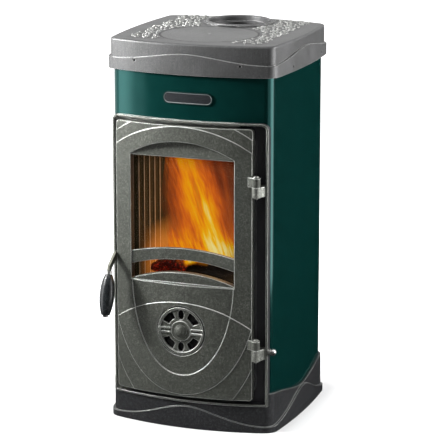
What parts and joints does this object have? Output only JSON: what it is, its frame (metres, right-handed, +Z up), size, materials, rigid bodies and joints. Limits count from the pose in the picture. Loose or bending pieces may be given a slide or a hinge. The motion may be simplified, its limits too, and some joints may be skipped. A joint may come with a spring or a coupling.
{
  "type": "wood cookstove",
  "caption": "Compact upright wood cookstove: bowed enamelled casing, cast door with arched window and air rosette, cooking disc and rear flue socket on top.",
  "frame": {"origin": "middle of the plan, on the floor under the plinth", "axes": "+X to the right seen from the front, front faces -Y, +Z up"},
  "size_m": [0.4, 0.4643, 0.848],
  "materials": {
    "cast_iron": "anthracite stove paint with a faint metallic sheen on a lightly pebbled casting",
    "top_iron": "lighter grey stove paint on the cooking top",
    "enamel": "glossy dark green vitreous enamel on sheet steel",
    "galvanised": "dull zinc-coated sheet",
    "steel": "plain bright steel",
    "dark_steel": "blackened steel",
    "black_sheet": "matt black heat-proof paint on sheet steel",
    "fire_iron": "bare cast iron, sooted by use",
    "rope": "grey glass-fibre sealing rope",
    "glass": "clear heat-proof glass",
    "grip_black": "black heat-proof moulded grip",
    "badge": "dark plate with a plain bright rim, left without any lettering"
  },
  "bodies": {
    "stove": {"plinth": "cast_iron", "mantle_fascia": "enamel", "mantle_back_rails": "enamel", "mantle_left": "enamel", "mantle_right": "enamel", "back_panel": "galvanised", "back_panel_screws": "steel", "top_casting": "top_iron", "top_fixing_screws": "dark_steel", "flue_collar": "top_iron", "front_frame": "cast_iron", "latch_keeper": "steel", "hinge_bracket_lower": "cast_iron", "hinge_bracket_upper": "cast_iron", "hinge_pin_lower": "dark_steel", "hinge_pin_upper": "dark_steel", "hinge_bolts": "dark_steel", "firebox_left": "black_sheet", "firebox_right": "black_sheet", "firebox_back": "black_sheet", "ash_floor": "black_sheet", "hearth_plate": "fire_iron", "grate": "fire_iron", "liner_left": "fire_iron", "liner_right": "fire_iron", "liner_back": "fire_iron", "baffle": "fire_iron", "ash_pan": "galvanised", "ash_pan_bail": "galvanised", "badge_plate": "badge"},
    "door": {"door_casting": "cast_iron", "door_rope_seal": "rope", "door_inner_shield": "black_sheet", "inner_shield_screws": "steel", "glass_gasket": "rope", "window_glass": "glass", "glass_clips": "steel", "glass_clip_screws": "steel", "air_disc_bolt": "dark_steel", "air_disc_nut": "steel", "latch_pin": "dark_steel"},
    "air_rosette": {"air_disc": "cast_iron"},
    "latch": {"latch_lever": "dark_steel", "grip_spindle": "steel", "grip_ferrule": "steel", "handle_grip": "grip_black", "grip_nut": "steel"},
    "air_valve": {"air_valve_rod": "steel", "air_valve_disc": "steel", "air_valve_knob": "cast_iron"},
    "cooking_lid": {"cooking_disc": "top_iron"}
  },
  "joints": [
    {"name": "door_swing", "type": "hinge", "parent": "stove", "child": "door", "pos_m": [0.157, -0.196, 0.37], "axis": [0, 0, 1], "range_deg": [0, 120]},
    {"name": "latch_lift", "type": "hinge", "parent": "door", "child": "latch", "pos_m": [-0.1684, -0.184, 0.369], "axis": [-1, 0, 0], "range_deg": [0, 40]},
    {"name": "air_disc_turn", "type": "hinge", "parent": "door", "child": "air_rosette", "pos_m": [-0.009, -0.2055, 0.22], "axis": [0, -1, 0], "range_deg": [0, 13.5]},
    {"name": "secondary_air_pull", "type": "slide", "parent": "stove", "child": "air_valve", "axis": [1, 0, 0], "range_m": [0, 0.012]},
    {"name": "cooking_disc_lift", "type": "slide", "parent": "stove", "child": "cooking_lid", "axis": [0, 0, 1], "range_m": [0, 0.08]}
  ]
}
